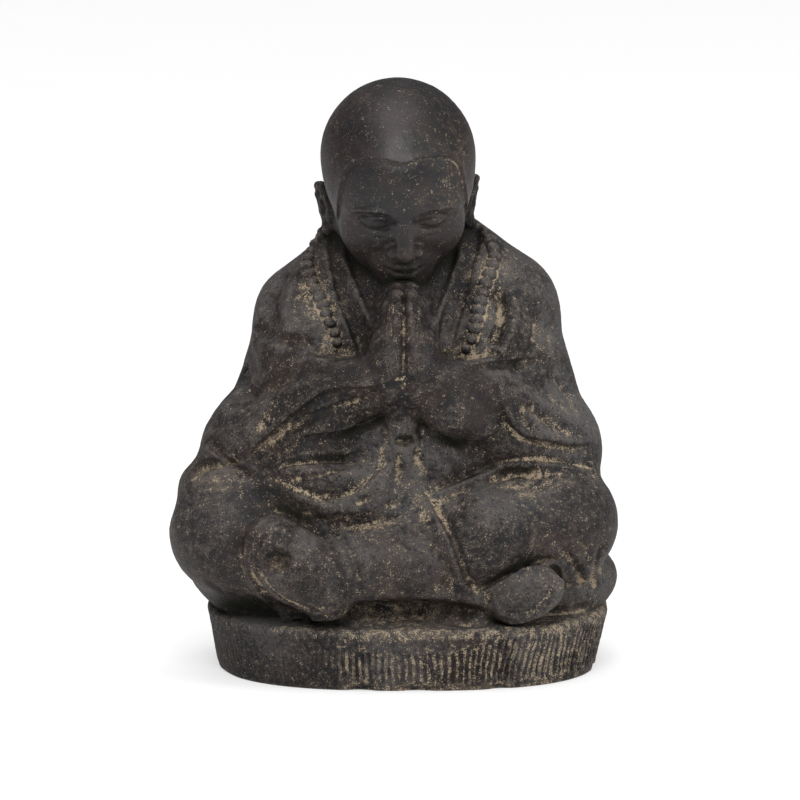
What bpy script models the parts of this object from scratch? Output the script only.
"""Garden monk statue: a seated figure with joined palms, cast in one piece with its low plinth.

The figure is built up as a sculptor builds clay. Round masses are laid over an inner pose, fused and
smoothed, finer forms go on top, and the folds are pressed in along lines drawn on the front and back.
"""

import math

import bmesh
import bpy
import numpy as np
from mathutils import Euler, Matrix, Vector
from mathutils.bvhtree import BVHTree

# Driving dimensions, in metres.
FIGURE_HEIGHT = 0.376      # from the plinth's top to the crown
PLINTH_HEIGHT = 0.044
PLINTH_WIDTH = 0.284       # across the plinth's top edge
PLINTH_DEPTH = 0.236       # front to back at the same edge
PLINTH_FOOT_INSET = 0.009  # how far the foot of the plinth's side stands in from its top edge
PLINTH_EDGE_RADIUS = 0.006
SKIRT_HEIGHT = 0.026       # of the skirt spread on the plinth, which reaches the plinth's sides
SKIRT_LIFT = 0.38          # share of that height by which its middle stands above the plinth's top
SKIRT_FRONT_LEDGE = 0.030  # of the plinth's top in front of the skirt
SKIRT_BACK_LEDGE = 0.018   # of the plinth's top behind it
BEAD_DIAMETER = 0.0078
BEAD_GAP = 0.0008          # between two beads of the strand
BEAD_RISE = 0.0006         # how far a bead's centre stands above the robe

# The figure's forms are shares of its height: 376 shares make the whole height.
SHARE = FIGURE_HEIGHT / 376
FIGURE_PLACE = (0, 11)     # the figure's axis from the origin, in shares
PLINTH_PLACE = (9, 0)      # the plinth's centre from the origin, in shares
PLINTH_SQUARENESS = 2.5    # exponent of the rounded outline: 2 is an ellipse
GROUND_CUT = 0.012         # how far the plinth's blank reaches below the ground, where it is cut flat

# Fineness of the clay, in shares, and of the finished faces.
MASS_VOXEL = 3.0
DETAIL_VOXEL = 2.6
MASS_SMOOTHING_COUNT = 9
DETAIL_SMOOTHING_COUNT = 2
BODY_TRIANGLES = 7600
BALL_SEGMENTS = 28
PLINTH_SEGMENTS = 72
BEAD_SUBDIVISION_COUNT = 1

# The head's pose: bowed towards the hands, turned and leaning a little.
HEAD_CENTRE = (3, -31, 318)
HEAD_BOW, HEAD_TURN, HEAD_LEAN = 25, 4, -2

# Folds are drawn on an upright sheet, looked at from this many degrees above level.
SHEET_TILT = 10
SHEET_DISTANCE = 1.0
LINE_STEP = 1.5            # between two points of a drawn line, in shares
LINE_REACH = 3             # how many widths from its line a fold still moves the clay
LINE_FADE = 0.15           # share of a line's length over which its end fades

STONE_COLOUR = (0.072, 0.066, 0.064, 1.0)
STONE_ROUGHNESS = 0.82

# Round masses: centre, radii and turn in degrees, all in shares above the plinth's top.
BODY_MASSES = (
    ((6, 30, 46), (110, 70, 56), (0, 0, 0)),        # hips
    ((7, -27, 112), (82, 64, 60), (0, 0, 0)),       # belly
    ((6, 4, 178), (82, 58, 72), (0, 0, 0)),         # chest and back
    ((6, 22, 244), (57, 38, 42), (0, 0, 0)),        # collar bunched behind the neck
    ((6, -50, 180), (26, 34, 52), (0, 0, 0)),       # robe between the chest and the hands
    ((6, -46, 222), (17, 24, 34), (0, 0, 0)),       # filled between the fingers and the chin
    ((-58, -28, 166), (40, 38, 50), (0, 0, 0)),     # robe hanging from the shoulders
    ((72, -28, 164), (40, 38, 50), (0, 0, 0)),
    ((6, -48, 66), (98, 56, 43), (0, 0, 0)),        # robe across the lap
    ((-120, -34, 84), (32, 42, 25), (0, 0, 0)),     # robe over the thighs
    ((74, -40, 66), (56, 52, 38), (0, 0, 0)),
    ((-98, -14, 23), (47, 58, 28), (0, 0, 0)),      # skirt beside the right knee
    ((110, -12, 18), (47, 58, 28), (0, 0, 0)),      # skirt beside the left knee
    ((-62, -66, 82), (40, 24, 20), (0, 0, 0)),      # robe in the lap, under the hem
    ((-104, -26, 112), (32, 34, 36), (0, 0, 0)),    # right elbow in its sleeve
    ((114, -24, 110), (32, 35, 36), (0, 0, 0)),     # left elbow in its sleeve
)

# Limbs: points with a radius at each, in shares.
BODY_LIMBS = (
    (((-59, 6, 200), 40), ((74, 6, 207), 41)),                                        # shoulders
    (((-34, 14, 220), 38), ((48, 14, 225), 40)),                                      # neck slope
    (((-60, 5, 196), 34), ((-90, -18, 120), 33)),                                     # upper arms
    (((76, 5, 205), 36), ((104, -16, 120), 34)),
    (((-92, -27, 126), 29), ((-52, -66, 155), 23), ((-14, -88, 172), 17)),            # forearms
    (((106, -27, 124), 29), ((66, -66, 153), 24), ((28, -88, 171), 17)),
    (((-106, -38, 106), 28), ((-62, -58, 134), 24), ((-34, -62, 160), 18)),           # hanging sleeves
    (((112, -38, 108), 29), ((76, -58, 130), 25), ((46, -62, 158), 18)),
    (((-98, -58, 96), 17), ((-60, -80, 97), 16), ((-16, -88, 96), 15)),               # hem in the lap
    (((-52, 25, 54), 46), ((-116, -55, 57), 42)),                                     # thighs
    (((62, 25, 56), 47), ((113, -52, 64), 44)),
    (((-112, -62, 50), 34), ((-30, -90, 25), 25), ((56, -92, 17), 20)),               # right shin
    (((110, -60, 60), 36), ((60, -82, 57), 35), ((14, -98, 46), 22), ((-30, -102, 41), 23)),  # left shin
)

# Masses of the head, in shares from the middle of the skull and in the head's own axes.
HEAD_MASSES = (
    ((0, 6, 0), (56, 61, 55), (0, 0, 0)),           # skull
    ((0, -12, -16), (47, 45, 40), (0, 0, 0)),       # forehead
    ((0, -19, -40), (41, 34, 42), (0, 0, 0)),       # face
    ((-20, -30, -46), (20, 18, 20), (0, 0, 0)),     # cheeks
    ((20, -30, -46), (20, 18, 20), (0, 0, 0)),
    ((0, -35, -70), (18, 15, 14), (0, 0, 0)),       # chin
)
HEAD_LIMBS = (
    (((-35, 2, -48), 13), ((0, -28, -70), 14), ((35, 2, -48), 13)),                   # jaw
    (((0, 34, -78), 34), ((0, 16, -40), 38)),                                         # neck
)

# Finer forms, laid on after the masses are smooth.
HEAD_DETAILS = (
    ((-49, 8, -40), (6.5, 12, 18), (-6, 0, 20)),    # ears
    ((49, 8, -40), (6.5, 12, 18), (-6, 0, -20)),
    ((-46, 2, -54), (6.5, 8, 8), (0, 0, 0)),        # ear lobes
    ((46, 2, -54), (6.5, 8, 8), (0, 0, 0)),
    ((-7, -54, -45), (5, 6, 5), (0, 0, 0)),         # nostrils
    ((7, -54, -45), (5, 6, 5), (0, 0, 0)),
    ((0, -50, -56), (14, 6, 4), (0, 0, 0)),         # lips
    ((0, -49, -61), (11, 6, 4), (0, 0, 0)),
)
HEAD_DETAIL_LIMBS = (
    (((0, -53, -22), 5), ((0, -59, -42), 7.5)),                                       # nose
    (((-30, -43, -20), 5), ((-18, -51, -15), 5), ((-6, -53, -20), 4)),                # brows
    (((30, -43, -20), 5), ((18, -51, -15), 5), ((6, -53, -20), 4)),
)
BODY_DETAILS = (
    ((-4, -90, 188), (16, 22, 32), (12, 10, 0)),    # joined palms
    ((17, -90, 188), (16, 22, 32), (12, -10, 0)),
    ((86, -105, 21), (34, 16, 19), (0, -24, 0)),    # right foot
    ((6, -84, 145), (13, 11, 13), (0, 0, 0)),       # knot of the sash
)
BODY_DETAIL_LIMBS = (
    (((0, -88, 198), 12), ((4, -70, 232), 6.5)),                                      # fingers
    (((14, -88, 198), 12), ((10, -70, 232), 6.5)),
    (((-82, -97, 54), 24), ((-66, -103, 40), 26), ((-48, -105, 27), 24)),             # left foot
)

# The strand of beads: up the robe's right front, round the nape and down its left front.
STRAND_FRONT_RIGHT = ((-41, 179), (-43, 186), (-46, 193), (-49, 200), (-53, 210), (-55, 216), (-59, 226),
                      (-61, 234))
STRAND_BACK = ((-52, 230), (-32, 221), (6, 215), (44, 223), (60, 233))
STRAND_FRONT_LEFT = ((66, 250), (69, 244), (70, 238), (68, 231), (66, 224), (63, 217), (61, 209), (59, 197),
                     (58, 190), (56, 183), (51, 175))

# Folds: kind, height and width, then the line, all in shares across and up the sheet. A ridge stands
# up and a groove goes in by its height. A lap stands up on the left of its line and drops on the right.
FRONT_FOLDS = (
    ("ridge", 2, 7, STRAND_FRONT_RIGHT),            # raised bands that carry the beads
    ("ridge", 2, 7, STRAND_FRONT_LEFT),
    ("ridge", 4, 5, ((-31, 163), (-62, 166), (-79, 161), (-98, 152), (-115, 137), (-126, 122))),
    ("groove", 3.5, 5, ((-40, 157), (-62, 158), (-80, 153), (-97, 143), (-112, 129))),
    ("lap", 6, 5, ((-98, 105), (-92, 110), (-78, 121), (-69, 131), (-52, 146), (-48, 157), (-27, 165))),
    ("lap", 6, 5, ((48, 160), (60, 153), (67, 144), (72, 134), (79, 126), (89, 114), (97, 109), (110, 108),
                     (137, 110))),
    ("lap", 3.5, 4, ((48, 160), (74, 163), (98, 167))),
    ("ridge", 4, 6, ((88, 145), (98, 138), (117, 127), (139, 114))),
    ("groove", 5.5, 4, ((78, 98), (103, 102), (128, 102), (147, 98))),
    ("groove", 5.5, 4, ((21, 72), (36, 79), (48, 84), (62, 90), (75, 94), (96, 96), (117, 95), (138, 91))),
    ("groove", 5.5, 4, ((-147, 77), (-137, 90), (-127, 95), (-113, 93), (-104, 86), (-94, 83), (-67, 76))),
    ("lap", 4, 5, ((-62, 71), (-51, 67), (-38, 67), (-26, 73), (-17, 82), (-12, 94))),
    ("groove", 7, 6, ((-44, 52), (-24, 54), (-8, 60), (8, 70))),
    ("lap", 4, 5, ((21, 71), (26, 61), (31, 48), (36, 37), (43, 26), (48, 14))),
    ("ridge", 2.5, 5, ((48, 27), (62, 40), (89, 51), (117, 60), (137, 66))),
    ("lap", 3.5, 4, ((-26, 180), (-33, 194), (-39, 210), (-43, 228), (-45, 245))),
    ("lap", 3.5, 4, ((53, 263), (59, 254), (58, 240), (53, 220), (48, 197), (43, 185))),
    ("groove", 3.5, 4, ((38, 222), (31, 203), (30, 192))),
    ("groove", 3.5, 7, ((-77, 230), (-83, 217), (-86, 206), (-83, 197))),
    ("groove", 4, 7, ((-96, 189), (-81, 183), (-67, 179), (-55, 176))),
    ("groove", 3.5, 5, ((72, 216), (74, 203), (72, 190), (67, 177))),
    ("ridge", 3.5, 6, ((84, 210), (83, 192), (77, 178), (70, 169))),
    ("groove", 8, 6, ((-1, 112), (7, 109), (15, 112))),
    ("groove", 8, 7, ((-86, 30), (-80, 27))),
    ("groove", 4, 3, ((70, 11), (82, 18), (92, 22), (107, 23), (115, 25))),
    ("groove", 5.5, 4, ((150, 41), (143, 32), (140, 19), (145, 5))),
)
BACK_FOLDS = (
    ("ridge", 4, 7, ((-48, 236), (-24, 222), (6, 217), (36, 222), (60, 236))),
    ("groove", 4, 8, ((-84, 200), (-56, 176), (-20, 160), (6, 156))),
    ("ridge", 4, 9, ((-96, 170), (-64, 146), (-28, 128), (6, 122))),
    ("groove", 4, 8, ((92, 204), (66, 180), (34, 160))),
    ("ridge", 4, 9, ((104, 172), (80, 140), (44, 116))),
    ("groove", 5.5, 8, ((-104, 104), (-66, 88), (-20, 80), (30, 80), (76, 90), (112, 106))),
    ("ridge", 4, 9, ((-110, 60), (-70, 40), (-40, 8))),
    ("ridge", 4, 9, ((116, 60), (84, 40), (58, 8))),
)


def figure_matrix():
    """The figure's shares to metres, standing on the plinth."""
    across, back = FIGURE_PLACE
    return Matrix.Translation((across * SHARE, back * SHARE, PLINTH_HEIGHT)) @ Matrix.Scale(SHARE, 4)


def plinth_matrix():
    """The plinth's place, in metres."""
    across, back = PLINTH_PLACE
    return Matrix.Translation((across * SHARE, back * SHARE, 0))


def head_matrix():
    """The head's own shares to metres, with the head bowed, turned and leaning."""
    pose = Euler([math.radians(a) for a in (HEAD_BOW, HEAD_LEAN, HEAD_TURN)], "XYZ").to_matrix().to_4x4()
    return figure_matrix() @ Matrix.Translation(HEAD_CENTRE) @ pose


class Clay:
    """Overlapping closed forms, gathered in one mesh until they are fused."""

    def __init__(self):
        self.lumps = bmesh.new()
        self.ball = self.primitive(bmesh.ops.create_uvsphere, u_segments=BALL_SEGMENTS,
                                   v_segments=BALL_SEGMENTS // 2, radius=1)

    def primitive(self, operator, **sizes):
        """A mesh that holds one primitive."""
        blank = bmesh.new()
        operator(blank, **sizes)
        mesh = bpy.data.meshes.new("primitive")
        blank.to_mesh(mesh)
        blank.free()
        return mesh

    def lay(self, mesh, matrix):
        """Adds a copy of a mesh, moved by the matrix."""
        copy = mesh.copy()
        copy.transform(matrix)
        self.lumps.from_mesh(copy)
        bpy.data.meshes.remove(copy)

    def add_ball(self, frame, centre, radii, turn=(0, 0, 0)):
        """Adds an ellipsoid."""
        tilt = Euler([math.radians(a) for a in turn], "XYZ").to_matrix().to_4x4()
        self.lay(self.ball, frame @ Matrix.Translation(centre) @ tilt @ Matrix.Diagonal((*radii, 1.0)))

    def add_limb(self, frame, stations):
        """Adds a limb: a ball at each station and a cone between each two."""
        for centre, radius in stations:
            self.add_ball(frame, centre, (radius, radius, radius))
        for (start, start_radius), (end, end_radius) in zip(stations, stations[1:]):
            along = Vector(end) - Vector(start)
            cone = self.primitive(bmesh.ops.create_cone, cap_ends=True, segments=BALL_SEGMENTS,
                                  radius1=start_radius, radius2=end_radius, depth=along.length)
            middle = Matrix.Translation((Vector(start) + Vector(end)) / 2)
            self.lay(cone, frame @ middle @ along.to_track_quat("Z", "Y").to_matrix().to_4x4())

    def add_forms(self, frame, balls, limbs):
        """Adds a list of balls and a list of limbs."""
        for centre, radii, turn in balls:
            self.add_ball(frame, centre, radii, turn)
        for stations in limbs:
            self.add_limb(frame, stations)

    def fuse(self, voxel, smoothing):
        """One smoothed skin round all the forms, by a voxel remesh."""
        blank = link("clay", bpy.data.meshes.new("clay"))
        self.lumps.to_mesh(blank.data)
        self.lumps.free()
        remesh = blank.modifiers.new("fuse", "REMESH")
        remesh.mode = "VOXEL"
        remesh.voxel_size = voxel * SHARE
        smooth = blank.modifiers.new("smooth", "SMOOTH")
        smooth.factor = 0.5
        smooth.iterations = smoothing
        skin = evaluated_mesh(blank)
        bpy.data.objects.remove(blank)
        return skin


def link(name, mesh, collection=None):
    """A new object in a collection, or in the scene."""
    made = bpy.data.objects.new(name, mesh)
    (collection or bpy.context.scene.collection).objects.link(made)
    return made


def evaluated_mesh(obj):
    """The object's mesh with its modifiers applied."""
    graph = bpy.context.evaluated_depsgraph_get()
    return bpy.data.meshes.new_from_object(obj.evaluated_get(graph))


def plinth_outline(angle, inset):
    """A point of the plinth's rounded outline, from its centre."""
    power = 2 / PLINTH_SQUARENESS
    cos, sin = math.cos(angle), math.sin(angle)
    return (math.copysign(abs(cos) ** power, cos) * (PLINTH_WIDTH / 2 - inset),
            math.copysign(abs(sin) ** power, sin) * (PLINTH_DEPTH / 2 - inset))


def plinth_blank():
    """The plinth's blank: a cylinder drawn out to the outline, narrower at its foot, its top edge round."""
    blank = bmesh.new()
    bmesh.ops.create_cone(blank, cap_ends=True, segments=PLINTH_SEGMENTS, radius1=1, radius2=1, depth=2)
    top = {vert for vert in blank.verts if vert.co.z > 0}
    fall = (PLINTH_HEIGHT + GROUND_CUT) / PLINTH_HEIGHT
    for vert in blank.verts:
        inset, height = (0, PLINTH_HEIGHT) if vert in top else (PLINTH_FOOT_INSET * fall, -GROUND_CUT)
        x, y = plinth_outline(math.atan2(vert.co.y, vert.co.x), inset)
        vert.co = (x, y, height)
    rim = [edge for edge in blank.edges if top.issuperset(edge.verts)]
    bmesh.ops.bevel(blank, geom=rim, offset=PLINTH_EDGE_RADIUS, segments=3, affect="EDGES")
    mesh = bpy.data.meshes.new("plinth_blank")
    blank.to_mesh(mesh)
    blank.free()
    return mesh


def masses():
    """The large forms of the body, the head and the plinth, fused and smooth."""
    clay = Clay()
    clay.add_forms(figure_matrix(), BODY_MASSES, BODY_LIMBS)
    clay.add_forms(head_matrix(), HEAD_MASSES, HEAD_LIMBS)
    plinth = plinth_matrix()
    clay.lay(plinth_blank(), plinth)
    skirt_size = (PLINTH_WIDTH / 2, (PLINTH_DEPTH - SKIRT_FRONT_LEDGE - SKIRT_BACK_LEDGE) / 2, SKIRT_HEIGHT)
    skirt_back = (SKIRT_FRONT_LEDGE - SKIRT_BACK_LEDGE) / 2
    clay.add_ball(plinth, (0, skirt_back, PLINTH_HEIGHT + SKIRT_HEIGHT * SKIRT_LIFT), skirt_size)
    return clay.fuse(MASS_VOXEL, MASS_SMOOTHING_COUNT)


def modelled_figure():
    """The masses with the finer forms laid on."""
    clay = Clay()
    clay.lay(masses(), Matrix.Identity(4))
    clay.add_forms(figure_matrix(), BODY_DETAILS, BODY_DETAIL_LIMBS)
    clay.add_forms(head_matrix(), HEAD_DETAILS, HEAD_DETAIL_LIMBS)
    return clay.fuse(DETAIL_VOXEL, DETAIL_SMOOTHING_COUNT)


class Sheet:
    """A sheet held before a skin, in front or behind, whose drawn lines are carried onto the skin."""

    def __init__(self, skin, front=True):
        tilt = math.radians(SHEET_TILT)
        facing = 1 if front else -1
        self.across = Vector((1, 0, 0))
        self.up = Vector((0, facing * math.sin(tilt), math.cos(tilt)))
        self.sight = Vector((0, facing * math.cos(tilt), -math.sin(tilt)))
        self.origin = figure_matrix().translation - self.sight * SHEET_DISTANCE
        self.tree = BVHTree.FromPolygons([v.co for v in skin.vertices], [p.vertices for p in skin.polygons])

    def carry(self, line):
        """The line's points on the skin, in metres, close together."""
        found = []
        for across, up in drawn_line(line):
            start = self.origin + self.across * across * SHARE + self.up * up * SHARE
            hit = self.tree.ray_cast(start, self.sight)[0]
            if hit is not None:
                found.append(hit)
        return np.array(found)


def drawn_line(points):
    """A smooth line through the points, as Catmull and Rom draw it, in steps of about LINE_STEP."""
    knots = [2 * Vector(points[0]) - Vector(points[1]), *map(Vector, points),
             2 * Vector(points[-1]) - Vector(points[-2])]
    for before, start, end, after in zip(knots, knots[1:], knots[2:], knots[3:]):
        steps = max(1, round((end - start).length / LINE_STEP))
        for step in range(steps):
            t = step / steps
            yield 0.5 * (2 * start + (end - before) * t + (2 * before - 5 * start + 4 * end - after) * t ** 2
                         + (3 * start - before - 3 * end + after) * t ** 3)
    yield Vector(points[-1])


def fold_height(kind, offset, side):
    """How far a fold lifts the clay at an offset from its line, both as shares of its width."""
    if kind == "ridge":
        return np.exp(-offset ** 2)
    if kind == "groove":
        return -np.exp(-offset ** 2)
    return np.tanh(3 * side) * np.exp(-(offset / 1.8) ** 2)


def press_folds(skin, sheet, folds):
    """Moves the skin's points in and out along its normals to raise and press in the folds."""
    points = np.array([v.co for v in skin.vertices])
    normals = np.array([v.normal for v in skin.vertices])
    lift = np.zeros(len(points))
    for kind, height, width, line in folds:
        track = sheet.carry(line)
        heading = np.gradient(track, axis=0)
        heading /= np.linalg.norm(heading, axis=1, keepdims=True)
        left = np.cross(heading, np.array(sheet.sight))
        left /= -np.linalg.norm(left, axis=1, keepdims=True)
        reach = LINE_REACH * width * SHARE
        near = np.flatnonzero(np.all((points > track.min(0) - reach) & (points < track.max(0) + reach), axis=1))
        apart = points[near, None] - track[None]
        nearest = np.argmin((apart ** 2).sum(2), axis=1)
        apart = apart[np.arange(len(near)), nearest]
        offset = np.linalg.norm(apart, axis=1) / (width * SHARE)
        side = (apart * left[nearest]).sum(1) / (width * SHARE)
        along = nearest / (len(track) - 1)
        fade = np.clip(np.minimum(along, 1 - along) / LINE_FADE, 0.25, 1)
        lift[near] += height * SHARE * fade * fold_height(kind, offset, side)
    skin.vertices.foreach_set("co", (points + normals * lift[:, None]).astype(np.float32).ravel())
    skin.update()


def strand_places(skin):
    """The beads' centres, evenly spaced along the strand, on the skin."""
    front, back = Sheet(skin), Sheet(skin, front=False)
    strand = np.concatenate([front.carry(STRAND_FRONT_RIGHT), back.carry(STRAND_BACK),
                             front.carry(STRAND_FRONT_LEFT)])
    travelled = np.concatenate([[0], np.cumsum(np.linalg.norm(np.diff(strand, axis=0), axis=1))])
    count = int(travelled[-1] // (BEAD_DIAMETER + BEAD_GAP))
    stops = np.linspace(0, travelled[-1], count + 1)
    for place in zip(*(np.interp(stops, travelled, strand[:, axis]) for axis in range(3))):
        hit, normal, _, _ = front.tree.find_nearest(Vector(place))
        yield hit + normal * BEAD_RISE


def bead_strand(skin, collection):
    """All the beads as one helper, which a Boolean joins to the statue."""
    beads = bmesh.new()
    for place in strand_places(skin):
        bmesh.ops.create_icosphere(beads, subdivisions=int(BEAD_SUBDIVISION_COUNT), radius=BEAD_DIAMETER / 2,
                                   matrix=Matrix.Translation(place))
    mesh = bpy.data.meshes.new("bead_strand")
    beads.to_mesh(mesh)
    beads.free()
    return helper("bead_strand", mesh, collection)


def ground_cutter(collection):
    """A block whose top is the ground, which cuts the underside flat."""
    block = bmesh.new()
    side = 2 * max(PLINTH_WIDTH, PLINTH_DEPTH)
    depth = 2 * GROUND_CUT
    bmesh.ops.create_cube(block, size=1, matrix=Matrix.Translation((0, 0, -depth / 2))
                          @ Matrix.Diagonal((side, side, depth, 1)))
    mesh = bpy.data.meshes.new("ground_cutter")
    block.to_mesh(mesh)
    block.free()
    return helper("ground_cutter", mesh, collection)


def helper(name, mesh, collection):
    """An object that only shapes another, left out of the render."""
    made = link(name, mesh, collection)
    made.hide_render = True
    made.display_type = "WIRE"
    return made


def make_stone():
    """Dark cast stone."""
    stone = bpy.data.materials.new("dark_cast_stone")
    stone.use_nodes = True
    shader = stone.node_tree.nodes["Principled BSDF"]
    shader.inputs["Base Color"].default_value = STONE_COLOUR
    shader.inputs["Roughness"].default_value = STONE_ROUGHNESS
    shader.inputs["Metallic"].default_value = 0.0
    return stone


def new_collection(name):
    """A collection in the scene."""
    made = bpy.data.collections.new(name)
    bpy.context.scene.collection.children.link(made)
    return made


def add_boolean(obj, operation, other):
    """Joins another object to this one, or cuts it away."""
    modifier = obj.modifiers.new(operation.lower(), "BOOLEAN")
    modifier.operation = operation
    modifier.object = other
    return modifier


def main():
    """Builds the statue."""
    for obj in list(bpy.data.objects):
        bpy.data.objects.remove(obj)
    parts, helpers = new_collection("garden_monk_statue"), new_collection("helpers")
    skin = modelled_figure()
    press_folds(skin, Sheet(skin), FRONT_FOLDS)
    press_folds(skin, Sheet(skin, front=False), BACK_FOLDS)
    beads = bead_strand(skin, helpers)
    statue = link("monk_statue", skin, parts)
    statue.data.materials.append(make_stone())
    thin = statue.modifiers.new("thin_out", "DECIMATE")
    thin.ratio = BODY_TRIANGLES / (2 * len(skin.polygons))
    add_boolean(statue, "UNION", beads)
    add_boolean(statue, "DIFFERENCE", ground_cutter(helpers))
    statue.data.shade_smooth()


if __name__ == "__main__":
    main()
